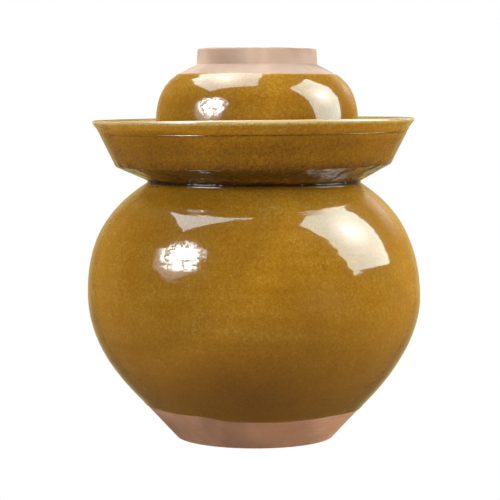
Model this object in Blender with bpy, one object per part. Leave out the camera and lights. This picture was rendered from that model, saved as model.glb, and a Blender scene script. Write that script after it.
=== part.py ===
"""Water-sealed ceramic pickling crock, in metres, +Z up, standing on z = 0 with its axis on Z.

A thrown jar has a water trough luted round its neck. A bowl stands upside down in the trough as the
outer lid, a small knobbed lid closes the mouth under it, and two half-moon weights lie in the jar.
Every turned piece is an outline of (radius, height) points that a Screw modifier turns about Z.
"""

import math

import bmesh
import bpy

# Driving dimensions
SEGMENTS = 48
CURVE_STEPS = 9
SHOULDER_STEPS = 4
FIT_GAP = 0.0003
MERGE_DISTANCE = 0.00002

BASE_RADIUS = 0.0585
BASE_RECESS_RADIUS = 0.042
BASE_RECESS_DEPTH = 0.0012
BASE_RECESS_CHAMFER = 0.004
BELLY_RADIUS = 0.1245
BELLY_HEIGHT = 0.107
CONE_TOP = (0.0867, 0.030)
SEAM = (0.0797, 0.1917)
WALL = 0.007
FLOOR_THICKNESS = 0.009
FLOOR_ROUND = 0.010
NECK_RADIUS = 0.060
NECK_ROOT = (NECK_RADIUS, 0.1985)
NECK_TOP = 0.240
NECK_ROOT_ROUND = 0.004
LIP_ROUND = 0.0015

TROUGH_FLOOR = 0.2035
TROUGH_KNEE = (0.1030, 0.2040)
TROUGH_LIP = (0.1172, 0.2315)
TROUGH_RIM = (0.1211, 0.2370)
TROUGH_WALL = 0.0065
TROUGH_FLOOR_ROUND = 0.005
TROUGH_KNEE_ROUND = 0.003
TROUGH_RIM_ROUNDS = (0.0020, 0.0012)

LID_RIM_RADIUS = 0.0785
LID_SIDE = (0.0768, 0.232)
LID_SHOULDER = (0.0470, 0.2776)
LID_WALL = 0.0060
LID_EDGE_ROUND = 0.0022
LID_TOP_THICKNESS = 0.0096
LID_CEILING_FALL = 0.0006
LID_CEILING_EDGE = 0.012
FOOT_RING_RADIUS = 0.0446
FOOT_RING_FLARE = 0.0006
FOOT_RING_WIDTH = 0.0080
FOOT_RING_TOP = 0.2916
FOOT_RING_ROOT = 0.2786
FOOT_RING_ROUND = 0.0010
FOOT_RECESS_HEIGHT = 0.2815
FOOT_RECESS_ROUND = 0.002

FLANGE_RADIUS = 0.0585
FLANGE_THICKNESS = 0.0045
FLANGE_ROUNDS = (0.0015, 0.0008)
PLUG_RADIUS = 0.0515
PLUG_DEPTH = 0.0055
DOME_RISE = 0.0035
KNOB_NECK_RADIUS = 0.0100
KNOB_NECK_FLARE = 0.0015
KNOB_NECK_LENGTH = 0.0030
KNOB_RADIUS = 0.0135
KNOB_TOP = 0.2620
KNOB_SIDE = 0.0065
KNOB_ROUNDS = (0.004, 0.002)

WEIGHT_RADIUS = 0.070
WEIGHT_THICKNESS = 0.018
WEIGHT_BEVEL = 0.0020
WEIGHT_SPLIT = 0.0020
FINGER_HOLE_RADIUS = 0.011
FINGER_HOLE_OFFSET = 0.030

# Cubic curves as start, two pulling points and end, each a (radius, height)
UPPER_BELLY = (SEAM, (0.0984, 0.1788), (BELLY_RADIUS, 0.158), (BELLY_RADIUS, BELLY_HEIGHT))
LOWER_BELLY = ((BELLY_RADIUS, BELLY_HEIGHT), (BELLY_RADIUS, 0.075), (0.104, 0.048), CONE_TOP)
SHOULDER = (NECK_ROOT, (0.068, 0.1970), (0.074, 0.1955), SEAM)
LID_DOME = (LID_SHOULDER, (0.066, 0.269), (LID_SIDE[0], 0.262), LID_SIDE)

GLAZE = ("amber_glaze", (0.33, 0.165, 0.022, 1.0), 0.12)
BARE_CLAY = ("bare_clay", (0.60, 0.37, 0.24, 1.0), 0.85)


def bezier(controls, count):
    """count + 1 points of the cubic curve with those four control points."""
    points = []
    for step in range(count + 1):
        t = step / count
        weights = ((1 - t) ** 3, 3 * t * (1 - t) ** 2, 3 * t * t * (1 - t), t**3)
        points.append(
            tuple(sum(w * p[axis] for w, p in zip(weights, controls)) for axis in (0, 1))
        )
    return points


def rounded(before, corner, after, radius, count=3):
    """Points of an arc of that radius which rounds the corner between two neighbours."""
    arms = []
    for other in (before, after):
        length = math.dist(corner, other)
        arms.append(((other[0] - corner[0]) / length, (other[1] - corner[1]) / length))
    opening = math.acos(max(-1.0, min(1.0, arms[0][0] * arms[1][0] + arms[0][1] * arms[1][1])))
    reach = radius / math.tan(opening / 2)
    bisector = (arms[0][0] + arms[1][0], arms[0][1] + arms[1][1])
    scale = radius / math.sin(opening / 2) / math.hypot(*bisector)
    centre = (corner[0] + bisector[0] * scale, corner[1] + bisector[1] * scale)
    first = (corner[0] + arms[0][0] * reach, corner[1] + arms[0][1] * reach)
    angle = math.atan2(first[1] - centre[1], first[0] - centre[0])
    side = arms[0][0] * arms[1][1] - arms[0][1] * arms[1][0]
    sweep = math.copysign(math.pi - opening, -side)
    return [
        (
            centre[0] + radius * math.cos(angle + sweep * step / count),
            centre[1] + radius * math.sin(angle + sweep * step / count),
        )
        for step in range(count + 1)
    ]


def softened(corners, radii):
    """The outline through corners, with an arc at each inner corner whose radius isn't 0."""
    outline = [corners[0]]
    for before, corner, after, radius in zip(corners, corners[1:], corners[2:], radii):
        outline += rounded(before, corner, after, radius) if radius else [corner]
    return outline + [corners[-1]]


def offset(points, distance):
    """The points moved to the right of their direction of travel by distance."""
    moved = []
    for index, (radius, height) in enumerate(points):
        before = points[max(index - 1, 0)]
        after = points[min(index + 1, len(points) - 1)]
        length = math.dist(before, after)
        moved.append(
            (
                radius + distance * (after[1] - before[1]) / length,
                height - distance * (after[0] - before[0]) / length,
            )
        )
    return moved


def material(name, colour, roughness):
    made = bpy.data.materials.get(name)
    if made is None:
        made = bpy.data.materials.new(name)
        made.use_nodes = True
        shader = made.node_tree.nodes["Principled BSDF"]
        shader.inputs["Base Color"].default_value = colour
        shader.inputs["Roughness"].default_value = roughness
        shader.inputs["Metallic"].default_value = 0.0
    return made


def turned(name, outline, finish, closed_loop=False, base_height=0.0):
    """The solid that the outline sweeps about Z. Its origin is on the axis, at base_height."""
    mesh = bpy.data.meshes.new(name)
    points = [(radius, 0.0, height - base_height) for radius, height in outline]
    edges = [(index, index + 1) for index in range(len(points) - 1)]
    if closed_loop:
        edges.append((len(points) - 1, 0))
    mesh.from_pydata(points, edges, [])
    piece = bpy.data.objects.new(name, mesh)
    piece.location = (0.0, 0.0, base_height)
    bpy.context.scene.collection.objects.link(piece)
    screw = piece.modifiers.new("turn", "SCREW")
    screw.axis = "Z"
    screw.angle = 2 * math.pi
    screw.steps = SEGMENTS
    screw.render_steps = SEGMENTS
    screw.use_merge_vertices = True
    screw.merge_threshold = MERGE_DISTANCE
    screw.use_smooth_shade = True
    mesh.materials.append(material(*finish))
    return piece


def belly_outline():
    """The jar's outer side from the seam with the trough down to the base."""
    lower = bezier(LOWER_BELLY, CURVE_STEPS)
    return bezier(UPPER_BELLY, CURVE_STEPS) + lower[1:] + [(BASE_RADIUS, 0.0)]


def inner_cone():
    """Radius at the base plane and widening per height of the cone inside the jar's foot."""
    slope = (CONE_TOP[0] - BASE_RADIUS) / CONE_TOP[1]
    return BASE_RADIUS - WALL * math.hypot(1.0, slope), slope


def jar_body():
    outside = bezier(SHOULDER, SHOULDER_STEPS) + belly_outline()[1:]
    inside = offset(outside, WALL)[::-1]
    neck_inside = NECK_RADIUS - WALL
    inside = [p for p in inside if p[1] > FLOOR_THICKNESS + WALL and p[0] > neck_inside + WALL / 2]
    cone_radius, cone_slope = inner_cone()
    floor_corner = (cone_radius + cone_slope * FLOOR_THICKNESS, FLOOR_THICKNESS)
    lip = softened(
        [
            inside[-1],
            (neck_inside, NECK_ROOT[1] - WALL),
            (neck_inside, NECK_TOP),
            (NECK_RADIUS, NECK_TOP),
            NECK_ROOT,
        ],
        [NECK_ROOT_ROUND, LIP_ROUND, LIP_ROUND],
    )
    outline = [(0.0, FLOOR_THICKNESS)]
    outline += rounded(outline[0], floor_corner, inside[0], FLOOR_ROUND)
    outline += inside[:-1] + lip[:-1] + outside
    outline += [
        (BASE_RECESS_RADIUS, 0.0),
        (BASE_RECESS_RADIUS - BASE_RECESS_CHAMFER, BASE_RECESS_DEPTH),
        (0.0, BASE_RECESS_DEPTH),
    ]
    return turned("jar_body", outline, GLAZE)


def water_moat():
    under = [(radius, height + FIT_GAP) for radius, height in bezier(SHOULDER, SHOULDER_STEPS)]
    under[0] = (NECK_RADIUS + FIT_GAP, under[0][1])
    knee, lip = TROUGH_KNEE, TROUGH_LIP
    slope = math.dist(lip, knee)
    inward = (TROUGH_WALL * (lip[1] - knee[1]) / slope, -TROUGH_WALL * (lip[0] - knee[0]) / slope)
    outline = softened(
        [
            (NECK_RADIUS + FIT_GAP, TROUGH_FLOOR),
            (knee[0] - inward[0], TROUGH_FLOOR),
            (lip[0] - inward[0], TROUGH_RIM[1]),
            TROUGH_RIM,
            lip,
            knee,
            under[-1],
        ],
        [TROUGH_FLOOR_ROUND, *TROUGH_RIM_ROUNDS, 0, TROUGH_KNEE_ROUND],
    )
    return turned("water_moat", outline + under[-2::-1], GLAZE, closed_loop=True)


def outer_lid():
    rim_height = TROUGH_FLOOR + FIT_GAP
    ring_inside = FOOT_RING_RADIUS - FOOT_RING_WIDTH
    side = bezier(LID_DOME, CURVE_STEPS)
    inner_side = offset(side, LID_WALL)[::-1]
    ceiling = FOOT_RECESS_HEIGHT - LID_TOP_THICKNESS
    top = softened(
        [
            (0.0, FOOT_RECESS_HEIGHT),
            (ring_inside, FOOT_RECESS_HEIGHT),
            (ring_inside, FOOT_RING_TOP),
            (FOOT_RING_RADIUS, FOOT_RING_TOP),
            (FOOT_RING_RADIUS + FOOT_RING_FLARE, FOOT_RING_ROOT),
            side[0],
        ],
        [FOOT_RECESS_ROUND, FOOT_RING_ROUND, FOOT_RING_ROUND, 0],
    )
    edge = softened(
        [side[-1], (LID_RIM_RADIUS, rim_height), (LID_RIM_RADIUS - LID_WALL, rim_height), inner_side[0]],
        [LID_EDGE_ROUND, LID_EDGE_ROUND],
    )
    inside = [p for p in inner_side if p[1] < ceiling - LID_WALL / 2]
    outline = top + side[1:] + edge[1:-1] + inside
    outline += [(inside[-1][0] - LID_CEILING_EDGE, ceiling - LID_CEILING_FALL), (0.0, ceiling)]
    return turned("outer_lid", outline, GLAZE, base_height=rim_height)


def inner_lid():
    seat = NECK_TOP + FIT_GAP
    flange_top = seat + FLANGE_THICKNESS
    knob_root = flange_top + DOME_RISE
    outline = softened(
        [
            (0.0, KNOB_TOP),
            (KNOB_RADIUS, KNOB_TOP),
            (KNOB_RADIUS, KNOB_TOP - KNOB_SIDE),
            (KNOB_NECK_RADIUS, knob_root + KNOB_NECK_LENGTH),
            (KNOB_NECK_RADIUS + KNOB_NECK_FLARE, knob_root),
            (FLANGE_RADIUS, flange_top),
            (FLANGE_RADIUS, seat),
            (PLUG_RADIUS, seat),
            (PLUG_RADIUS, seat - PLUG_DEPTH),
            (0.0, seat - PLUG_DEPTH),
        ],
        [*KNOB_ROUNDS, 0, 0, *FLANGE_ROUNDS, 0, LIP_ROUND],
    )
    return turned("inner_lid", outline, GLAZE, base_height=seat)


def weight_blank(name, side):
    """Half a disc with its straight edge along Y, on the side of the jar that side (+1 or -1) names."""
    half_turn = SEGMENTS // 2
    edge = WEIGHT_SPLIT / 2
    angles = [math.pi * (step / half_turn - 0.5) for step in range(half_turn + 1)]
    outline = [(max(WEIGHT_RADIUS * math.cos(a), edge) * side, WEIGHT_RADIUS * math.sin(a)) for a in angles]
    if side < 0:
        outline.reverse()
    shape = bmesh.new()
    face = shape.faces.new([shape.verts.new((x, y, 0.0)) for x, y in outline])
    raised = bmesh.ops.extrude_face_region(shape, geom=[face])["geom"]
    upper = [item for item in raised if isinstance(item, bmesh.types.BMVert)]
    bmesh.ops.translate(shape, verts=upper, vec=(0.0, 0.0, WEIGHT_THICKNESS))
    bmesh.ops.recalc_face_normals(shape, faces=shape.faces)
    mesh = bpy.data.meshes.new(name)
    shape.to_mesh(mesh)
    shape.free()
    piece = bpy.data.objects.new(name, mesh)
    bpy.context.scene.collection.objects.link(piece)
    return piece


def finger_hole_cutter(name, x, height):
    shape = bmesh.new()
    bmesh.ops.create_cone(
        shape,
        cap_ends=True,
        segments=SEGMENTS // 2,
        radius1=FINGER_HOLE_RADIUS,
        radius2=FINGER_HOLE_RADIUS,
        depth=WEIGHT_THICKNESS * 2,
    )
    mesh = bpy.data.meshes.new(name)
    shape.to_mesh(mesh)
    shape.free()
    cutter = bpy.data.objects.new(name, mesh)
    cutter.location = (x, 0.0, height + WEIGHT_THICKNESS / 2)
    cutter.hide_render = True
    cutter.display_type = "WIRE"
    bpy.context.scene.collection.objects.link(cutter)
    return cutter


def weight(name, side):
    # The rounded lower edge touches the cone inside the jar's foot along a slanting tangent.
    cone_radius, cone_slope = inner_cone()
    edge_reach = WEIGHT_RADIUS - WEIGHT_BEVEL + WEIGHT_BEVEL * math.hypot(1.0, cone_slope)
    seat = (edge_reach - cone_radius) / cone_slope - WEIGHT_BEVEL + 2 * FIT_GAP
    piece = weight_blank(name, side)
    piece.location = (0.0, 0.0, seat)
    hole = piece.modifiers.new("finger_hole", "BOOLEAN")
    hole.operation = "DIFFERENCE"
    hole.object = finger_hole_cutter(name + "_hole", side * FINGER_HOLE_OFFSET, seat)
    edges = piece.modifiers.new("soft_edges", "BEVEL")
    edges.width = WEIGHT_BEVEL
    edges.segments = 2
    edges.limit_method = "ANGLE"
    edges.angle_limit = math.radians(40)
    piece.data.materials.append(material(*BARE_CLAY))
    return piece


def main():
    for old in list(bpy.data.objects):
        bpy.data.objects.remove(old, do_unlink=True)
    jar_body()
    water_moat()
    outer_lid()
    inner_lid()
    weight("weight_left", -1)
    weight("weight_right", 1)


main()
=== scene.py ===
"""Looks of the water-sealed pickling crock: thrown clay walls, a poured amber glaze, and the studio.

Every turned piece is an outline of (radius, height) points in metres, in the frame's own coordinates. An
outline keeps the air on its left as it is followed: down the outside of a wall, up the inside.
"""

import math

import bmesh
import bpy
import numpy as np
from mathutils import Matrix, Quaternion, Vector


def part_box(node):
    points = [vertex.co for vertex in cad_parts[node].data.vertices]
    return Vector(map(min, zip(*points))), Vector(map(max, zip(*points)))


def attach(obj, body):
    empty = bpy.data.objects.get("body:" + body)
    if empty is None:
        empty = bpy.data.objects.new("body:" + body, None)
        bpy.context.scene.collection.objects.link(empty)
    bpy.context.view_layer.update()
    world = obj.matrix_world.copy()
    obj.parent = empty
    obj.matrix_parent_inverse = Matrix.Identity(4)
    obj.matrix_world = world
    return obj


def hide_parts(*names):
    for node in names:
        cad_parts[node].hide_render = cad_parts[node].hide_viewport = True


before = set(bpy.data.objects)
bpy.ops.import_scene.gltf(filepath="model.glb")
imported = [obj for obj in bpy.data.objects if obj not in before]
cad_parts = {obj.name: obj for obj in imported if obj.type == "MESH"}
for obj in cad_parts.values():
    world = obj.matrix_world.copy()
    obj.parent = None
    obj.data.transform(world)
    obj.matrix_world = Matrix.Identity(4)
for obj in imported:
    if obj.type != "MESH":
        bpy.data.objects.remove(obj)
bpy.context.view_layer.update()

COLUMNS = 180
ROW_SPACING = 0.0022
ARC_STEPS = 5

# Outlines, as in the CAD model
WALL = 0.007
FLOOR_TOP = 0.009
FLOOR_ROUND = 0.010
BASE_RADIUS = 0.0590
BASE_EDGE_ROUND = 0.0008
BASE_RECESS_RADIUS = 0.042
BASE_RECESS_DEPTH = 0.0012
CONE_TOP = (0.0867, 0.030)
SEAM = (0.0785, 0.1917)
BELLY_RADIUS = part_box("jar_body")[1].x
BELLY_HEIGHT = 0.107
NECK_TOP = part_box("jar_body")[1].z
NECK_RADIUS = 0.060
NECK_ROOT = (NECK_RADIUS, 0.1985)
UPPER_BELLY = (SEAM, (0.0984, 0.1788), (BELLY_RADIUS, 0.158), (BELLY_RADIUS, BELLY_HEIGHT))
LOWER_BELLY = ((BELLY_RADIUS, BELLY_HEIGHT), (BELLY_RADIUS, 0.075), (0.104, 0.048), CONE_TOP)
SHOULDER = (NECK_ROOT, (0.068, 0.1970), (0.074, 0.1955), SEAM)

TROUGH_FLOOR = 0.2035
TROUGH_WALL = 0.0065
TROUGH_KNEE = (0.1030, 0.2040)
TROUGH_LIP = (0.1168, 0.2318)
TROUGH_RIM = (0.1219, 0.2385)
TROUGH_COVE = 0.004
LIP_ROLL = 0.0032
GROOVE_BELOW_LIP = 0.0035
GROOVE_CUT = (-0.0006, -0.0005)
GROOVE_WIDTH = 0.0014
LUTING_GAP = 0.0003
SEAM_BEAD = (0.0012, 0.0010)
SEAM_BEAD_SHIFT = (0.0003, 0.0002)
SEAM_BEAD_SIDES = 12

LID_RIM_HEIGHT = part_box("outer_lid")[0].z
LID_RIM_RADIUS = 0.0769
LID_WALL = 0.0060
LID_TOP_THICKNESS = 0.0096
LID_SIDE = (0.0753, 0.232)
LID_SHOULDER = (0.0470, 0.2776)
LID_DOME = (LID_SHOULDER, (0.0648, 0.269), (LID_SIDE[0], 0.262), LID_SIDE)
FOOT_RING_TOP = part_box("outer_lid")[1].z - 0.0010
FOOT_RING_ROOT = 0.2786
FOOT_RING_RADIUS = 0.0444
FOOT_RING_WIDTH = 0.0080
FOOT_RECESS_HEIGHT = 0.2815

INNER_LID_SEAT = NECK_TOP + LUTING_GAP
FLANGE_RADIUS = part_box("inner_lid")[1].x
FLANGE_THICKNESS = 0.0045
FLANGE_TOP = INNER_LID_SEAT + FLANGE_THICKNESS
PLUG_RADIUS = 0.0515
PLUG_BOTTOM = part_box("inner_lid")[0].z
DOME_RISE = 0.0035
KNOB_RADIUS = 0.0135
KNOB_STEM_RADIUS = 0.0092
KNOB_ROOT = FLANGE_TOP + DOME_RISE
KNOB_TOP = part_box("inner_lid")[1].z

WEIGHT_BEVEL = 0.0022
WEIGHT_BEVEL_STEPS = 5
FINGER_HOLE_RADIUS = 0.011
FINGER_HOLE_OFFSET = 0.030

# The glaze coat
GLAZE_THICKNESS = 0.00035
GLAZE_BITE = 0.0003
GLAZE_BEAD = ((0.0, -0.6), (0.00012, 0.35), (0.0003, 0.85), (0.0007, 1.25), (0.0014, 1.45), (0.0026, 1.30))
GLAZE_EDGE_THINNING = 0.85
GLAZE_EDGE_REACH = 0.0016
WAVE_REACH = 0.016
JAR_GLAZE_LINE = 0.0225
LID_GLAZE_LINE = 0.2713
FLANGE_GLAZE_LINE = INNER_LID_SEAT + 0.0014

# Where the glaze's depth isn't 1, with painted shade and painted light added as depth where noted: radius,
# height, reach and how much it changes by
JAR_MARKS = (
    (*SEAM, 0.0035, 1.2),  # the crease under the trough: pooled glaze, and painted shade
    (0.095, 0.180, 0.018, -0.10),  # the top of the belly: painted light, lighter glaze where the trough shades it
    (NECK_RADIUS - WALL / 2, NECK_TOP, 0.0035, -0.70),  # the neck's rim
    (BASE_RADIUS, FLOOR_TOP, 0.010, 0.5),  # the corner of the floor
)
TROUGH_MARKS = (
    (TROUGH_RIM[0] - 0.001, TROUGH_RIM[1], 0.0026, -1.5),  # the rim
    (TROUGH_LIP[0] - TROUGH_WALL, TROUGH_RIM[1] - 0.003, 0.0050, -1.3),  # inside the rim
    (0.1105, 0.2190, 0.0130, 0.48),  # the middle of the wall
    (*TROUGH_KNEE, 0.0090, 0.34),
    (TROUGH_LIP[0] - 0.0021, TROUGH_LIP[1] - 0.0036, 0.0008, 0.37),  # the groove: glaze pooled in it, and painted shade
    (TROUGH_LIP[0] - 0.0008, TROUGH_LIP[1] - 0.0008, 0.0007, 0.28),  # a fine line of painted shade above it
    (0.0905, 0.1974, 0.0085, 0.75),  # the underside: thicker glaze, and painted shade where it faces down
    # the crease at the seam: pooled glaze, and painted shade
    (*SEAM, 0.0060, 1.2),
    (TROUGH_KNEE[0] - TROUGH_WALL, TROUGH_FLOOR, 0.008, 0.6),  # the corners of the floor
    (NECK_RADIUS, TROUGH_FLOOR, 0.006, 0.5),
)
# The seam's bead: near black, as pooled glaze and as painted shade in the crease
SEAM_POOL_AND_SHADE_MARKS = ((*SEAM, 0.01, 1.9),)
OUTER_LID_MARKS = ((LID_RIM_RADIUS - LID_WALL / 2, LID_RIM_HEIGHT, 0.003, -0.5),)
INNER_LID_MARKS = (
    (KNOB_RADIUS, KNOB_TOP, 0.003, -0.5),
    (0.0100, INNER_LID_SEAT + 0.008, 0.003, 0.5),  # the root of the knob
)

# The potter's hand
THROWING_PITCH = 0.0085
THROWING_DEPTH = 0.00004
THROWING_BEAT = 0.047
OUT_OF_ROUND = 0.00035
TRUE_CENTRE = 0.04
TRUE_FOOT = 0.01
TROUGH_TILT = 0.0108
TROUGH_SHIFT = -0.0004
TILT_START = NECK_RADIUS + 0.020
TILT_SPAN = 0.022
LID_SHIFT = 0.0023
JAR_LEAN = ((0.0, 0.0007), (0.03, 0.0009), (0.06, 0.0001), (0.10, 0.0003), (0.15, -0.0006), (0.19, 0.0))

# The view
EYE = (0.0, -1.40, 0.2528)
AIM = (-0.003, 0.0, 0.140)
LENS = 134.5
SENSOR = 36.0


# ---------------------------------------------------------------- outlines


def bezier(controls, count=24):
    """Points of the cubic curve with those four control points."""
    t = np.linspace(0, 1, count + 1)[:, None]
    a, b, c, d = (np.array(point) for point in controls)
    points = (1 - t) ** 3 * a + 3 * t * (1 - t) ** 2 * b + 3 * t * t * (1 - t) * c + t**3 * d
    return [tuple(point) for point in points]


def rounded(before, corner, after, radius):
    """Points of an arc of that radius which rounds the corner between two neighbours."""
    corner = np.array(corner)
    arms = [np.array(other) - corner for other in (before, after)]
    arms = [arm / np.linalg.norm(arm) for arm in arms]
    opening = math.acos(np.clip(arms[0] @ arms[1], -1, 1))
    bisector = (arms[0] + arms[1]) / np.linalg.norm(arms[0] + arms[1])
    centre = corner + bisector * radius / math.sin(opening / 2)
    first = corner + arms[0] * radius / math.tan(opening / 2) - centre
    sweep = math.copysign(math.pi - opening, arms[0][1] * arms[1][0] - arms[0][0] * arms[1][1])
    points = []
    for step in range(ARC_STEPS + 1):
        turn = sweep * step / ARC_STEPS
        across = first[0] * math.cos(turn) - first[1] * math.sin(turn)
        up = first[0] * math.sin(turn) + first[1] * math.cos(turn)
        points.append((centre[0] + across, centre[1] + up))
    return points


def softened(*corners):
    """The outline through those corners. A third number at one of them is the radius of an arc there."""
    places = [corner[:2] for corner in corners]
    outline = [places[0]]
    for before, (radius, height, *rounding), after in zip(places, corners[1:], places[2:]):
        corner = (radius, height)
        outline += rounded(before, corner, after, *rounding) if rounding else [corner]
    return outline + [places[-1]]


def offset(points, distance):
    """The points moved to the right of their direction of travel by distance."""
    points = np.array(points)
    along = np.gradient(points, axis=0)
    along /= np.linalg.norm(along, axis=1)[:, None]
    return [tuple(p) for p in points + distance * np.column_stack((along[:, 1], -along[:, 0]))]


def refined(points, loop=False):
    """The outline with points added until none are further apart than ROW_SPACING."""
    ends = points[1:] + ([points[0]] if loop else [])
    fine = [points[0]]
    for start, end in zip(points, ends):
        steps = max(1, math.ceil(math.dist(start, end) / ROW_SPACING))
        for step in range(1, steps + 1):
            fine.append(tuple(a + (b - a) * step / steps for a, b in zip(start, end)))
    return fine[:-1] if loop else fine


def jar_outline():
    """From the middle of the floor inside, up and over the neck, and down to the middle of the base."""
    outside = bezier(SHOULDER, 8) + bezier(UPPER_BELLY)[1:] + bezier(LOWER_BELLY)[1:] + [(BASE_RADIUS, 0.0)]
    neck_inside = NECK_RADIUS - WALL
    inside = [
        (radius, height)
        for radius, height in offset(outside, WALL)[::-1]
        if height > FLOOR_TOP + WALL and radius > neck_inside + 0.004
    ]
    slope = (CONE_TOP[0] - BASE_RADIUS) / CONE_TOP[1]
    floor_corner = (BASE_RADIUS - WALL * math.hypot(1, slope) + slope * FLOOR_TOP, FLOOR_TOP)
    neck = softened(
        inside[-1],
        (neck_inside, NECK_ROOT[1] - WALL, 0.004),
        (neck_inside, NECK_TOP, 0.0025),
        (NECK_RADIUS, NECK_TOP, 0.0025),
        NECK_ROOT,
    )
    base = softened(outside[-2], (*outside[-1], BASE_EDGE_ROUND), (BASE_RECESS_RADIUS, 0.0))
    return (
        [(0.0, FLOOR_TOP)]
        + rounded((0.0, FLOOR_TOP), floor_corner, inside[0], FLOOR_ROUND)
        + inside[:-1]
        + neck[:-1]
        + outside[:-2]
        + base
        + [(BASE_RECESS_RADIUS - 0.004, BASE_RECESS_DEPTH), (0.0, BASE_RECESS_DEPTH)]
    )


def trough_outline():
    """A closed section: cove at the neck, floor, inner wall, rolled rim, groove, knee and luted underside."""
    under = [(radius, height + LUTING_GAP) for radius, height in bezier(SHOULDER, 8)]
    under[0] = (NECK_RADIUS + LUTING_GAP, under[0][1])
    knee, lip = np.array(TROUGH_KNEE), np.array(TROUGH_LIP)
    slant = (lip - knee) / np.linalg.norm(lip - knee)
    inward = TROUGH_WALL * np.array((slant[1], -slant[0]))
    neck = NECK_RADIUS + LUTING_GAP
    groove = lip - slant * GROOVE_BELOW_LIP
    outline = softened(
        (neck, TROUGH_FLOOR + TROUGH_COVE),
        (neck + 0.0006, TROUGH_FLOOR + TROUGH_COVE - 0.0004),
        (neck + 0.0010, TROUGH_FLOOR, 0.003),
        (knee[0] - inward[0], TROUGH_FLOOR, 0.006),
        (*(lip - inward), 0.004),
        (lip[0] - inward[0] + LIP_ROLL, TROUGH_RIM[1], 0.0018),
        (*TROUGH_RIM, 0.0016),
        (*lip, 0.003),
        (*groove, 0.0004),
        (*(groove + GROOVE_CUT), 0.0004),
        (*(groove - slant * GROOVE_WIDTH), 0.0004),
        (*knee, 0.0035),
        SEAM,
    )
    return outline + under[-2::-1]


def lid_outline():
    """From the middle of the foot's recess, over the foot ring, down to the rim and up inside again."""
    ring_inside = FOOT_RING_RADIUS - FOOT_RING_WIDTH
    side = bezier(LID_DOME, 30)
    inner_side = offset(side, LID_WALL)[::-1]
    ceiling = FOOT_RECESS_HEIGHT - LID_TOP_THICKNESS
    top = softened(
        (0.0, FOOT_RECESS_HEIGHT),
        (ring_inside, FOOT_RECESS_HEIGHT, 0.003),
        (ring_inside + 0.0006, FOOT_RING_TOP, 0.0014),
        (FOOT_RING_RADIUS, FOOT_RING_TOP - 0.0002, 0.0014),
        (FOOT_RING_RADIUS + 0.0006, FOOT_RING_ROOT, 0.0008),
        side[0],
    )
    edge = softened(
        side[-1],
        (LID_RIM_RADIUS, LID_RIM_HEIGHT, 0.0026),
        (LID_RIM_RADIUS - LID_WALL, LID_RIM_HEIGHT, 0.0026),
        inner_side[0],
    )
    inside = [(radius, height) for radius, height in inner_side if height < ceiling - LID_WALL / 2]
    bend = (inside[-1][0] - 0.006, ceiling - 0.0010)
    under = bezier((inside[-1], bend, (0.030, ceiling), (0.0, ceiling)), 12)
    return top + side[1:] + edge[1:-1] + inside + under[1:]


def inner_lid_outline():
    """From the top of the knob, over the flange, to the middle of the plug's underside."""
    dome = bezier(
        (
            (0.0125, KNOB_ROOT),
            (0.030, KNOB_ROOT - 0.0004),
            (0.045, FLANGE_TOP + 0.001),
            (FLANGE_RADIUS, FLANGE_TOP),
        ),
        12,
    )
    knob = softened(
        (0.0, KNOB_TOP),
        (KNOB_RADIUS, KNOB_TOP - 0.0012, 0.0045),
        (KNOB_RADIUS, KNOB_TOP - 0.0065, 0.0025),
        (KNOB_STEM_RADIUS, KNOB_ROOT + 0.0035, 0.003),
        (KNOB_STEM_RADIUS, KNOB_ROOT, 0.002),
        dome[1],
    )
    flange = softened(
        dome[-2],
        (FLANGE_RADIUS, FLANGE_TOP, 0.0018),
        (FLANGE_RADIUS, INNER_LID_SEAT, 0.0010),
        (PLUG_RADIUS, INNER_LID_SEAT, 0.0005),
        (PLUG_RADIUS, PLUG_BOTTOM, 0.0018),
        (0.0, PLUG_BOTTOM),
    )
    return knob[:-1] + dome[1:-2] + flange


# ---------------------------------------------------------------- surfaces


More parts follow.
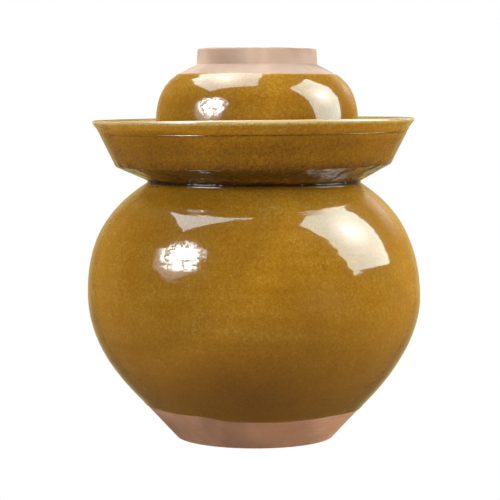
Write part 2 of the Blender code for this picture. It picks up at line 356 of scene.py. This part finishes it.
class Thrown:
    """The surface that an outline makes on the wheel: it can be asked for the place of any point along it."""

    def __init__(self, outline, seed, warp=None, loop=False):
        self.outline = np.array(refined(outline, loop))
        self.loop = loop
        self.seed = seed
        self.warp = warp
        steps = np.linalg.norm(np.diff(self.outline, axis=0), axis=1)
        self.lengths = np.concatenate(([0.0], np.cumsum(steps)))
        if loop:
            along = np.roll(self.outline, -1, axis=0) - np.roll(self.outline, 1, axis=0)
        else:
            along = np.gradient(self.outline, axis=0)
        along /= np.linalg.norm(along, axis=1)[:, None]
        self.normals = np.column_stack((-along[:, 1], along[:, 0]))
        if not loop:
            for end in (0, -1):
                self.normals[end] = (0.0, math.copysign(1, along[end, 0]))
        self.angles = np.arange(COLUMNS) * 2 * math.pi / COLUMNS

    def length_at_height(self, height, first):
        """Arc length where the outline crosses that height, searched from the point number first on."""
        heights = self.outline[:, 1] - height
        for index in range(first, len(heights) - 1):
            if heights[index] * heights[index + 1] <= 0:
                return float(self.lengths[index])
        raise ValueError(f"the outline never crosses {height}")

    def hand(self, along, radius, angle):
        """How far the wall is from a true turned surface: spiral rings, and a little out of round."""
        rings = np.sin(2 * math.pi * along / THROWING_PITCH + angle + self.seed)
        rings *= 0.55 + 0.45 * np.sin(2 * math.pi * along / THROWING_BEAT + 2 * self.seed)
        slow = np.cos(2 * angle + self.seed + 6 * along)
        slow += 0.6 * np.cos(3 * angle + 2.3 * self.seed - 9 * along)
        slow += 0.35 * np.cos(5 * angle + 4.1 * self.seed + 14 * along)
        slow += 0.2 * np.cos(9 * angle - 31 * along)
        return (THROWING_DEPTH * rings + OUT_OF_ROUND / 2 * slow) * np.clip(radius / TRUE_CENTRE, 0, 1)

    def grid(self, along, raised):
        """Points at those arc lengths, raised off the surface, as an array of rows by COLUMNS by 3."""
        along = np.broadcast_to(along, (len(along), COLUMNS))
        columns = (*self.outline.T, *self.normals.T)
        radius, height, out, up = (np.interp(along, self.lengths, column) for column in columns)
        raised = raised + self.hand(along, radius, self.angles) * np.clip(height / TRUE_FOOT, 0, 1)
        radius = np.maximum(radius + raised * out, 0.0)
        height = height + raised * up
        points = np.stack((radius * np.cos(self.angles), radius * np.sin(self.angles), height), axis=-1)
        return self.warp(points) if self.warp else points


def mesh_piece(name, grid, material, loop=False, depth=None):
    """A piece from a grid of points. Unless its rows form a loop, its first and last rows are on the axis."""
    rows = len(grid)
    if loop:
        points = grid.reshape(-1, 3)
        starts = [row * COLUMNS for row in range(rows)] + [0]
    else:
        points = np.vstack((grid[1:-1].reshape(-1, 3), grid[0].mean(0), grid[-1].mean(0)))
        starts = [row * COLUMNS for row in range(rows - 2)]
    faces = []
    for low, high in zip(starts, starts[1:]):
        for column in range(COLUMNS):
            following = (column + 1) % COLUMNS
            faces.append((low + column, low + following, high + following, high + column))
    if not loop:
        for column in range(COLUMNS):
            following = (column + 1) % COLUMNS
            faces.append((len(points) - 2, following, column))
            faces.append((len(points) - 1, starts[-1] + column, starts[-1] + following))
    mesh = bpy.data.meshes.new(name)
    mesh.from_pydata(points.tolist(), [], faces)
    shape = bmesh.new()
    shape.from_mesh(mesh)
    bmesh.ops.recalc_face_normals(shape, faces=shape.faces)
    shape.to_mesh(mesh)
    shape.free()
    if depth is not None:
        rings = depth if loop else depth[1:-1]
        poles = () if loop else (depth[0], depth[-1])
        layer = mesh.attributes.new("glaze_depth_and_shading", "FLOAT", "POINT")
        layer.data.foreach_set("value", np.append(np.repeat(rings, COLUMNS), poles).astype(np.float32))
    mesh.shade_smooth()
    mesh.materials.append(material)
    piece = bpy.data.objects.new(name, mesh)
    bpy.context.scene.collection.objects.link(piece)
    return piece


def glaze_depth_and_shading(points, marks):
    """The glaze's depth along an outline, 1 in general, with the painted shade and painted light of some
    marks added in. Each mark is (radius, height, reach, amount).
    """
    depth = np.ones(len(points))
    for radius, height, reach, amount in marks:
        distance = np.hypot(points[:, 0] - radius, points[:, 1] - height)
        depth += amount * np.exp(-((distance / reach) ** 2))
    return depth


def solid(name, surface, material, marks=None):
    """The whole body of a thrown piece."""
    depth = None if marks is None else glaze_depth_and_shading(surface.outline, marks)
    return mesh_piece(name, surface.grid(surface.lengths[:, None], 0.0), material, surface.loop, depth)


def coat(name, surface, line, to_end, wave, material, marks):
    """The glaze from the arc length line to one end of the outline. Its beaded edge wanders by wave."""
    way = 1 if to_end else -1
    distances = [way * (length - line) for length in surface.lengths]
    beads = [reach for reach, _ in GLAZE_BEAD]
    outer = beads + sorted(d for d in distances if d > beads[-1] + ROW_SPACING / 4)
    heights = [GLAZE_THICKNESS * height for _, height in GLAZE_BEAD]
    heights += [GLAZE_THICKNESS] * (len(outer) - len(beads))
    inner = outer[len(beads) :: 3]
    if inner[-1] != outer[-1]:
        inner.append(outer[-1])
    reach = np.array(inner[::-1] + outer)[:, None]
    raised = np.array([-GLAZE_BITE] * len(inner) + heights)[:, None]
    fade = np.clip(1 - reach / WAVE_REACH, 0, 1) ** 2
    along = line + way * (reach + wave(surface.angles[None, :]) * fade)
    places = np.column_stack([np.interp(along[:, 0], surface.lengths, axis) for axis in surface.outline.T])
    depth = glaze_depth_and_shading(places, marks)
    depth -= GLAZE_EDGE_THINNING * np.exp(-((reach[:, 0] / GLAZE_EDGE_REACH) ** 2))
    return mesh_piece(name, surface.grid(along, raised), material, depth=depth)


def eased(share):
    """0 below 0, 1 above 1, smooth between."""
    share = np.clip(share, 0, 1)
    return share * share * (3 - 2 * share)


def jar_wave(angles):
    """The jar's glaze line: a step up to the left of the front, a dip on the right, and small runs."""
    sweep = 0.0031 * np.cos(angles) + 0.0011 * np.sin(2 * angles + 0.4) + 0.0015 * np.sin(angles)
    left_step = 0.0055 * eased((4.54 - angles) / 0.33) * eased((angles - 1.2) / 1.4)
    from_right = (angles - 6.1 + math.pi) % (2 * math.pi) - math.pi
    right_dip = 0.0048 * np.exp(-((from_right / 0.35) ** 2))
    runs = 0.00035 * np.sin(7 * angles + 1) + 0.00022 * np.sin(17 * angles) * np.cos(3 * angles)
    return sweep + left_step - right_dip + runs


def lid_wave(angles):
    """The lid's glaze line: nearly level, with a few nibbles."""
    nibble = np.exp(-(((angles - 4.83) / 0.05) ** 2))
    return 0.0004 * np.cos(2 * angles + 1) + 0.0003 * np.cos(5 * angles) + 0.0008 * nibble


def even_wave(angles):
    return 0.0003 * np.cos(3 * angles + 2)


def trough_warp(points):
    """The trough sits a little tilted and off centre on the neck, as hand-luted ones do."""
    radius = np.hypot(points[..., 0], points[..., 1])
    share = eased((radius - TILT_START) / TILT_SPAN)
    moved = points.copy()
    moved[..., 2] += TROUGH_TILT * points[..., 0] * share
    moved[..., 0] += TROUGH_SHIFT * share
    return moved


def jar_warp(points):
    """The jar leans a little one way and the other as it rises."""
    moved = points.copy()
    moved[..., 0] += np.interp(points[..., 2], *zip(*JAR_LEAN))
    return moved


def lid_warp(points):
    return points + np.array((LID_SHIFT, 0.0, 0.0))


# ---------------------------------------------------------------- materials


class Nodes:
    """A node tree, with short calls for the nodes used here. place is where its textures are read."""

    def __init__(self, tree, source, output):
        self.tree = tree
        self.place = self.add(source).outputs[output]

    def add(self, kind, **settings):
        node = self.tree.nodes.new(kind)
        for key, value in settings.items():
            setattr(node, key, value)
        return node

    def link(self, value, socket):
        if isinstance(value, bpy.types.NodeSocket):
            self.tree.links.new(value, socket)
        else:
            socket.default_value = value

    def noise(self, scale, detail=3.0, stretch=None, output="Fac"):
        node = self.add("ShaderNodeTexNoise")
        node.inputs["Scale"].default_value = scale
        node.inputs["Detail"].default_value = detail
        place = self.place
        if stretch:
            mapping = self.add("ShaderNodeMapping")
            mapping.inputs["Scale"].default_value = stretch
            self.link(place, mapping.inputs["Vector"])
            place = mapping.outputs["Vector"]
        self.link(place, node.inputs["Vector"])
        return node.outputs[output]

    def cells(self, scale, output):
        node = self.add("ShaderNodeTexVoronoi")
        node.inputs["Scale"].default_value = scale
        self.link(self.place, node.inputs["Vector"])
        return node.outputs[output]

    def math(self, operation, *values):
        node = self.add("ShaderNodeMath", operation=operation)
        for value, socket in zip(values, node.inputs):
            self.link(value, socket)
        return node.outputs[0]

    def vector_math(self, operation, *values, output="Vector"):
        node = self.add("ShaderNodeVectorMath", operation=operation)
        for value, socket in zip(values, node.inputs):
            self.link(value, socket)
        return node.outputs[output]

    def swing(self, value, amount):
        """value, which averages 0.5, as a swing about 0 of that amount each way."""
        return self.math("MULTIPLY_ADD", value, 2 * amount, -amount)

    def ramp(self, value, stops):
        node = self.add("ShaderNodeValToRGB")
        elements = node.color_ramp.elements
        while len(elements) < len(stops):
            elements.new(1.0)
        for element, (position, colour) in zip(elements, stops):
            element.position = position
            element.color = (*colour, 1.0)
        self.link(value, node.inputs["Fac"])
        return node.outputs["Color"]

    def mix(self, share, first, second):
        """first where share is 0, second where it is 1. Each is a socket, or a colour's three levels."""
        node = self.add("ShaderNodeMix", data_type="RGBA")
        self.link(share, node.inputs["Factor"])
        colours = [socket for socket in node.inputs if socket.type == "RGBA"]
        for value, socket in zip((first, second), colours):
            self.link((*value, 1.0) if isinstance(value, tuple) else value, socket)
        return next(socket for socket in node.outputs if socket.type == "RGBA")

    def axis(self, letter):
        split = self.add("ShaderNodeSeparateXYZ")
        self.link(self.place, split.inputs["Vector"])
        return split.outputs[letter]

    def spread(self, value, low, high):
        """0 at low, 1 at high, smooth between."""
        node = self.add("ShaderNodeMapRange", interpolation_type="SMOOTHSTEP")
        self.link(value, node.inputs["Value"])
        node.inputs["From Min"].default_value = low
        node.inputs["From Max"].default_value = high
        return node.outputs["Result"]

    def bump(self, height, distance, strength=1.0, under=None):
        node = self.add("ShaderNodeBump")
        node.inputs["Strength"].default_value = strength
        node.inputs["Distance"].default_value = distance
        self.link(height, node.inputs["Height"])
        if under is not None:
            self.link(under, node.inputs["Normal"])
        return node.outputs["Normal"]


class Material(Nodes):
    """A new material. Its textures are read at the object's own coordinates, which are the frame's."""

    def __init__(self, name):
        self.material = bpy.data.materials.new(name)
        self.material.use_nodes = True
        super().__init__(self.material.node_tree, "ShaderNodeTexCoord", "Object")
        self.shader = self.tree.nodes["Principled BSDF"]

    def set(self, **sockets):
        """Links or sets the shader's sockets, named with _ for each space."""
        for name, value in sockets.items():
            self.link(value, self.shader.inputs[name.replace("_", " ")])

    def specks(self, scale, size, colour, share, over):
        """over, with specks of that colour mixed in by share. scale sets how close they lie, size how big."""
        iron = self.math("LESS_THAN", self.cells(scale, "Distance"), size)
        return self.mix(self.math("MULTIPLY", iron, share), over, colour)


# The glaze's colour by its depth and its painted shade and light, once that is scaled and mottled
GLAZE_DEPTHS = (
    (0.00, (0.700, 0.530, 0.270)),
    (0.16, (0.480, 0.300, 0.065)),
    (0.30, (0.370, 0.178, 0.010)),
    (0.42, (0.285, 0.124, 0.006)),
    (0.66, (0.078, 0.032, 0.006)),
    (0.90, (0.012, 0.007, 0.004)),
)
DEPTH_SCALE = 0.33
POOLED = (0.46, 0.56)
# Noise scale, detail and swing of each size of mottling
MOTTLING = ((11, 2, 0.055), (60, 4, 0.065), (420, 3, 0.120), (1100, 2, 0.190))
STREAK_SWING = 0.060
# A soft darker patch low on the front of the belly: its middle, reach and how much depth it adds
DARK_PATCH = (-0.010, -0.090, 0.044)
DARK_PATCH_REACH = 0.062
DARK_PATCH_DEPTH = 0.20
# Heights over which the glaze turns brown towards the bottom of the belly, as painted shade, and that brown
LOW_BELLY_SHADE_SPAN = (0.135, 0.030)
LOW_BELLY_SHADE_BROWN = (0.165, 0.067, 0.014)
GLAZE_SPECK = (0.090, 0.036, 0.008)
CLAY_SPECK = (0.16, 0.075, 0.035)

JAR_CLAY = ((0.32, 0.165, 0.095), (0.66, 0.360, 0.215), (0.50, 0.23, 0.11))
LID_CLAY = ((0.50, 0.335, 0.245), (0.72, 0.545, 0.43), (0.53, 0.335, 0.235))


def amber_glaze():
    """A clear iron glaze: pale where it is thin, amber at its usual depth, near black where it pools. Its
    depth also carries painted shade at the seam, the groove and the underside of the trough, and painted
    light on the top of the belly. The bottom of the belly is darkened as painted shade, and a soft patch low
    on its front is darker.
    """
    n = Material("amber_glaze")
    # the glaze's depth, with the painted shade and painted light of its marks
    depth_and_shading = n.add("ShaderNodeAttribute", attribute_name="glaze_depth_and_shading").outputs["Fac"]
    depth = pool = n.math("MULTIPLY", depth_and_shading, DEPTH_SCALE)
    for scale, detail, amount in MOTTLING:
        depth = n.math("ADD", depth, n.swing(n.noise(scale, detail), amount))
    streaks = n.noise(9, 4, stretch=(1.0, 1.0, 14.0))
    depth = n.math("ADD", depth, n.swing(streaks, STREAK_SWING))
    # a soft darker patch low on the front of the belly
    away = n.vector_math("DISTANCE", n.place, DARK_PATCH, output="Value")
    dark_patch = n.math("MULTIPLY", n.spread(away, DARK_PATCH_REACH, 0.0), DARK_PATCH_DEPTH)
    colour = n.ramp(n.math("ADD", depth, dark_patch), GLAZE_DEPTHS)
    # painted shade: the belly's glaze turns darker brown towards the bottom
    low = n.spread(n.axis("Z"), *LOW_BELLY_SHADE_SPAN)
    colour = n.mix(n.math("MULTIPLY", low, 0.60), colour, LOW_BELLY_SHADE_BROWN)
    colour = n.specks(170, 0.085, GLAZE_SPECK, 0.45, colour)
    peel = n.bump(n.noise(38, 2), 0.0005, 0.35)
    ragged = n.bump(n.noise(170, 3), 0.00010, 0.5, peel)
    pooled = n.math("MULTIPLY", n.spread(pool, *POOLED), n.noise(95, 2))
    lumps = n.bump(pooled, 0.0022, 1.0, ragged)
    n.set(
        Base_Color=colour,
        Roughness=n.math("MULTIPLY_ADD", n.noise(45, 3), 0.10, 0.16),
        Normal=n.bump(n.noise(420, 2), 0.00006, 0.35, lumps),
        Specular_IOR_Level=0.08,
        Coat_Weight=1.0,
        Coat_Roughness=0.035,
        Coat_IOR=1.55,
        Coat_Normal=lumps,
    )
    return n.material


def bare_clay(name, dark, light, flush):
    """Unglazed fired clay: sandy grain, faint lines from turning, and a flush of iron."""
    n = Material(name)
    colour = n.ramp(n.noise(22, 4), ((0.32, dark), (0.68, light)))
    lines = n.noise(24, 3, stretch=(1.0, 1.0, 42.0))
    colour = n.mix(n.math("MULTIPLY", n.spread(lines, 0.45, 0.75), 0.35), colour, dark)
    colour = n.mix(n.math("MULTIPLY", n.spread(n.noise(38, 4), 0.42, 0.64), 0.55), colour, flush)
    grain = n.noise(900, 2)
    colour = n.mix(n.math("MULTIPLY", n.spread(grain, 0.52, 0.70), 0.30), colour, dark)
    colour = n.specks(260, 0.10, CLAY_SPECK, 0.35, colour)
    turned = n.bump(lines, 0.0003, 0.5)
    n.set(
        Base_Color=colour,
        Roughness=n.math("MULTIPLY_ADD", grain, 0.12, 0.80),
        Normal=n.bump(n.noise(1100, 3), 0.00012, 0.8, turned),
    )
    return n.material


# ---------------------------------------------------------------- the object


def finish_piece(piece, body, slot, *nodes):
    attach(piece, body)
    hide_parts(*nodes)
    return piece


def make_jar(glaze, clay):
    surface = Thrown(jar_outline(), seed=0.7, warp=jar_warp)
    finish_piece(solid("jar_clay", surface, clay), "jar", "bare_clay", "jar_body")
    outside = int(np.argmax(surface.outline[:, 0]))
    line = surface.length_at_height(JAR_GLAZE_LINE, outside)
    piece = coat("jar_glaze", surface, line, False, jar_wave, glaze, JAR_MARKS)
    finish_piece(piece, "jar", "amber_glaze", "jar_body")


def make_trough(glaze):
    surface = Thrown(trough_outline(), seed=2.1, warp=trough_warp, loop=True)
    piece = solid("trough", surface, glaze, TROUGH_MARKS)
    finish_piece(piece, "jar", "amber_glaze", "water_moat")


def make_seam(glaze):
    """Glaze that pooled in the crease where the trough is luted on: near black, as pooled glaze and as
    painted shade in the crease.
    """
    centre = np.add(SEAM, SEAM_BEAD_SHIFT)
    turns = [-2 * math.pi * step / SEAM_BEAD_SIDES for step in range(SEAM_BEAD_SIDES)]
    outline = [tuple(centre + np.multiply(SEAM_BEAD, (math.cos(turn), math.sin(turn)))) for turn in turns]
    surface = Thrown(outline, seed=1.3, loop=True)
    piece = solid("seam_glaze_and_shade", surface, glaze, SEAM_POOL_AND_SHADE_MARKS)
    finish_piece(piece, "jar", "amber_glaze", "water_moat")


def make_outer_lid(glaze, clay):
    surface = Thrown(lid_outline(), seed=4.4, warp=lid_warp)
    finish_piece(solid("outer_lid_clay", surface, clay), "outer_lid", "bare_clay", "outer_lid")
    outside = int(np.argmax(surface.outline[:, 0] > FOOT_RING_RADIUS))
    line = surface.length_at_height(LID_GLAZE_LINE, outside)
    piece = coat("outer_lid_glaze", surface, line, True, lid_wave, glaze, OUTER_LID_MARKS)
    finish_piece(piece, "outer_lid", "amber_glaze", "outer_lid")


def make_inner_lid(glaze, clay):
    surface = Thrown(inner_lid_outline(), seed=3.2)
    finish_piece(solid("inner_lid_clay", surface, clay), "inner_lid", "bare_clay", "inner_lid")
    flange = int(np.argmax(surface.outline[:, 0]))
    line = surface.length_at_height(FLANGE_GLAZE_LINE, flange)
    piece = coat("inner_lid_glaze", surface, line, False, even_wave, glaze, INNER_LID_MARKS)
    finish_piece(piece, "inner_lid", "amber_glaze", "inner_lid")


def half_disc(name, side, low, high, clay):
    """A sharp-edged half-moon slab, with its straight edge along Y."""
    radius, split = high.y, min(abs(low.x), abs(high.x))
    turns = [math.pi * (step / (COLUMNS // 2) - 0.5) for step in range(COLUMNS // 2 + 1)]
    outline = [(max(radius * math.cos(t), split) * side, radius * math.sin(t)) for t in turns]
    shape = bmesh.new()
    face = shape.faces.new([shape.verts.new((x, y, low.z)) for x, y in outline])
    raised = bmesh.ops.extrude_face_region(shape, geom=[face])["geom"]
    upper = [item for item in raised if isinstance(item, bmesh.types.BMVert)]
    bmesh.ops.translate(shape, verts=upper, vec=(0.0, 0.0, high.z - low.z))
    bmesh.ops.recalc_face_normals(shape, faces=shape.faces)
    mesh = bpy.data.meshes.new(name)
    shape.to_mesh(mesh)
    shape.free()
    mesh.materials.append(clay)
    piece = bpy.data.objects.new(name, mesh)
    bpy.context.scene.collection.objects.link(piece)
    return piece


def finger_hole(name, side, low, high):
    shape = bmesh.new()
    bmesh.ops.create_cone(
        shape,
        cap_ends=True,
        segments=COLUMNS // 3,
        radius1=FINGER_HOLE_RADIUS,
        radius2=FINGER_HOLE_RADIUS,
        depth=2 * (high.z - low.z),
    )
    mesh = bpy.data.meshes.new(name)
    shape.to_mesh(mesh)
    shape.free()
    cutter = bpy.data.objects.new(name, mesh)
    cutter.location = (side * FINGER_HOLE_OFFSET, 0.0, (low.z + high.z) / 2)
    bpy.context.scene.collection.objects.link(cutter)
    return cutter


def apply_modifiers(piece):
    bpy.context.view_layer.update()
    final = bpy.data.meshes.new_from_object(piece.evaluated_get(bpy.context.evaluated_depsgraph_get()))
    piece.modifiers.clear()
    piece.data = final


def make_weight(node, side, clay):
    """One of the pair: a slab cut by its finger hole, then softened at its edges."""
    low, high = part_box(node)
    piece = half_disc(node + "_fine", side, low, high, clay)
    cutter = finger_hole(node + "_hole", side, low, high)
    hole = piece.modifiers.new("hole", "BOOLEAN")
    hole.operation = "DIFFERENCE"
    hole.object = cutter
    edges = piece.modifiers.new("edges", "BEVEL")
    edges.width = WEIGHT_BEVEL
    edges.segments = WEIGHT_BEVEL_STEPS
    edges.limit_method = "ANGLE"
    edges.angle_limit = math.radians(40)
    apply_modifiers(piece)
    bpy.data.objects.remove(cutter)
    piece.data.shade_smooth()
    piece.data.set_sharp_from_angle(angle=math.radians(35))
    finish_piece(piece, node, "bare_clay", node)


# ---------------------------------------------------------------- the studio


def area_light(name, centre, target, size, radiance, diffuse=True, glossy=True, turn=0.0):
    """A soft box: size is its width and height in metres, radiance the brightness of its face."""
    data = bpy.data.lights.new(name, "AREA")
    data.shape = "RECTANGLE"
    data.size, data.size_y = size
    data.energy = radiance * math.pi * size[0] * size[1]
    lamp = bpy.data.objects.new(name, data)
    lamp.location = centre
    lamp.rotation_mode = "QUATERNION"
    facing = (Vector(target) - Vector(centre)).to_track_quat("-Z", "Y")
    lamp.rotation_quaternion = facing @ Quaternion((0.0, 0.0, 1.0), turn)
    lamp.visible_camera = False
    lamp.visible_diffuse = diffuse
    lamp.visible_glossy = glossy
    bpy.context.scene.collection.objects.link(lamp)
    return lamp


class Face(Nodes):
    """What a soft box's face gives out at each place, which runs from 0 to 1 both ways."""

    def __init__(self, lamp):
        lamp.data.use_nodes = True
        super().__init__(lamp.data.node_tree, "ShaderNodeNewGeometry", "Parametric")
        self.emission = self.tree.nodes["Emission"]
        self.flat = self.place

    def crease(self, scale, amount):
        """Wrinkles the flat face by a noise of that scale."""
        self.place = self.flat
        noise = self.noise(scale, 4.0, output="Color")
        centred = self.vector_math("SUBTRACT", noise, (0.5, 0.5, 0.5))
        self.place = self.vector_math("MULTIPLY_ADD", centred, (amount, amount, 0.0), self.flat)

    def ellipse(self, centre, reach):
        """0 at the centre, 1 at the ellipse with that reach each way, and on."""
        scale = (1 / reach[0], 1 / reach[1], 0.0)
        middle = (-centre[0] / reach[0], -centre[1] / reach[1], 0.0)
        moved = self.vector_math("MULTIPLY_ADD", self.place, scale, middle)
        return self.vector_math("LENGTH", moved, output="Value")

    def facets(self, scale):
        """A level from 0 to 1 for each facet of a crumpled sheet."""
        split = self.add("ShaderNodeSeparateColor")
        self.link(self.cells(scale, "Color"), split.inputs["Color"])
        return split.outputs["Red"]

    def shine(self, colour):
        self.link(colour, self.emission.inputs["Color"])


BLACK = (0.0, 0.0, 0.0)
WHITE = (1.0, 1.0, 1.0)
GREY = (0.70, 0.70, 0.70)
MIDDLE = (0.5, 0.5)
FOIL_BULB = (0.9, 1.0, 1.0)
FOIL_SHADE = (0.02, 0.02, 0.02)
FOIL_HALF_LIT = (0.10, 0.11, 0.12)
FOIL_LIT = (0.85, 0.95, 1.0)
CLOTH = (0.085, 0.095, 0.095)
CLOTH_EDGE = (0.065, 0.070, 0.070)


def hot_middle(lamp, reach, edge):
    """A soft box's lamp behind its cloth: white in the middle, and edge around it."""
    face = Face(lamp)
    between = tuple(0.35 + 0.65 * level for level in edge)
    face.shine(face.ramp(face.ellipse(MIDDLE, reach), ((0.0, WHITE), (0.45, between), (0.95, edge))))


def crumpled(lamp):
    """An umbrella lined with creased foil: a bulb, lit facets around it, and dim cloth further out."""
    face = Face(lamp)
    near_bulb = face.ellipse((0.56, 0.61), (0.20, 0.13))
    bulb = face.ramp(near_bulb, ((0.0, FOIL_BULB), (0.80, FOIL_BULB), (1.0, BLACK)))
    near_core = face.ellipse((0.52, 0.54), (0.46, 0.38))
    core = face.ramp(near_core, ((0.0, WHITE), (0.70, GREY), (1.0, BLACK)))
    face.crease(5.0, 0.30)
    creased = face.ramp(face.facets(15.0), ((0.0, FOIL_SHADE), (0.46, FOIL_HALF_LIT), (0.56, FOIL_LIT)))
    face.crease(2.5, 0.40)
    within = face.ellipse((0.45, 0.42), (0.46, 0.42))
    cloth = face.ramp(within, ((0.0, CLOTH), (0.85, CLOTH_EDGE), (1.0, BLACK)))
    foil = face.vector_math("ADD", face.vector_math("MULTIPLY", core, creased), bulb)
    face.shine(face.vector_math("ADD", foil, cloth))


# Centre, target and size
RIGHT_BOX = ((0.55, -0.05, 0.560), (0.0, -0.05, 0.160), (0.50, 0.67))
TOP_BOX = ((-0.28, 0.08, 1.01), (0.0, 0.13, 0.27), (0.80, 0.66))
TOP_FILL = ((-0.27, 0.10, 1.01), (0.0, 0.13, 0.27), (0.80, 0.66))
TOP_BOX_TURN = -0.3
UMBRELLA = (-0.62, -0.47, 0.50)
BELLY_TOP = (0.0, 0.0, 0.16)
FILL_SIZE = (0.70, 0.50)
# Lamps that light the shadows and show no reflection: centre, target and radiance
FILLS = {
    "front_fill": ((0.10, -1.2, 0.95), (0.0, 0.0, 0.20), 0.3),
    "right_fill": ((0.90, -0.80, 0.05), (0.0, 0.0, 0.15), 5.2),
    "right_rim": ((1.0, 0.5, 0.12), (0.0, 0.0, 0.12), 6.6),
    "left_rim": ((-1.0, 0.5, 0.12), (0.0, 0.0, 0.12), 4.5),
}
ROOM_DIM = (0.13, 0.10, 0.060)
ROOM_BRIGHT = (0.50, 0.40, 0.18)
ROOM_FAR_END = (0.80, 1.0)
TABLE_SIZE = 1.6
TABLE_HEIGHT = -0.03
TABLE_GREY = (0.65, 0.65, 0.65, 1.0)


def studio():
    """A soft box is two lamps at one place: one is only reflected, and the other only lights."""
    right = area_light("right_softbox", *RIGHT_BOX, 17.0, diffuse=False)
    hot_middle(right, (0.42, 0.32), (0.35, 0.43, 0.41))
    area_light("right_soft_fill", *RIGHT_BOX, 9.2, glossy=False)
    top = area_light("top_softbox", *TOP_BOX, 12.5, diffuse=False, turn=TOP_BOX_TURN)
    hot_middle(top, (0.40, 0.30), (0.40, 0.48, 0.50))
    area_light("top_fill", *TOP_FILL, 4.0, glossy=False)
    left = area_light("left_umbrella", UMBRELLA, BELLY_TOP, (0.60, 0.56), 34.0, diffuse=False)
    crumpled(left)
    area_light("left_fill", UMBRELLA, BELLY_TOP, (0.50, 0.45), 10.2, glossy=False)
    for name, (centre, target, radiance) in FILLS.items():
        area_light(name, centre, target, FILL_SIZE, radiance, glossy=False)
    wall = area_light("back_wall", (0.9, 1.3, 0.75), (0.0, 0.0, 0.15), (1.30, 0.90), 0.8)
    hot_middle(wall, (0.50, 0.50), BLACK)


def surroundings():
    """White to the camera. All else sees a dim room, which is bright at its far end, behind the crock."""
    world = bpy.data.worlds.new("studio")
    bpy.context.scene.world = world
    world.use_nodes = True
    world.node_tree.nodes.clear()
    n = Nodes(world.node_tree, "ShaderNodeTexCoord", "Generated")
    room = n.add("ShaderNodeBackground")
    n.link(n.mix(n.spread(n.axis("Y"), *ROOM_FAR_END), ROOM_DIM, ROOM_BRIGHT), room.inputs["Color"])
    backdrop = n.add("ShaderNodeBackground")
    backdrop.inputs["Color"].default_value = (*WHITE, 1.0)
    choose = n.add("ShaderNodeMixShader")
    n.link(n.add("ShaderNodeLightPath").outputs["Is Camera Ray"], choose.inputs["Fac"])
    n.link(room.outputs["Background"], choose.inputs[1])
    n.link(backdrop.outputs["Background"], choose.inputs[2])
    n.link(choose.outputs["Shader"], n.add("ShaderNodeOutputWorld").inputs["Surface"])


def table():
    """The table that lights the belly from below. It is cut out of the view and of the reflections."""
    bpy.ops.mesh.primitive_plane_add(size=TABLE_SIZE, location=(0.0, 0.0, TABLE_HEIGHT))
    top = bpy.context.object
    top.name = "table"
    material = bpy.data.materials.new("table")
    material.use_nodes = True
    shader = material.node_tree.nodes["Principled BSDF"]
    shader.inputs["Base Color"].default_value = TABLE_GREY
    shader.inputs["Roughness"].default_value = 0.9
    shader.inputs["Specular IOR Level"].default_value = 0.0
    top.data.materials.append(material)
    top.visible_camera = False
    top.visible_glossy = False


def camera():
    data = bpy.data.cameras.new("camera")
    data.lens = LENS
    data.sensor_width = SENSOR
    eye = bpy.data.objects.new("camera", data)
    eye.location = EYE
    eye.rotation_euler = (Vector(AIM) - Vector(EYE)).to_track_quat("-Z", "Y").to_euler()
    bpy.context.scene.collection.objects.link(eye)
    bpy.context.scene.camera = eye


def main():
    bpy.context.scene.view_settings.view_transform = "Standard"
    glaze = amber_glaze()
    jar_clay = bare_clay("jar_clay", *JAR_CLAY)
    lid_clay = bare_clay("lid_clay", *LID_CLAY)
    make_jar(glaze, jar_clay)
    make_trough(glaze)
    make_seam(glaze)
    make_outer_lid(glaze, lid_clay)
    make_inner_lid(glaze, lid_clay)
    make_weight("weight_left", -1, jar_clay)
    make_weight("weight_right", 1, jar_clay)
    camera()
    table()
    studio()
    surroundings()


main()
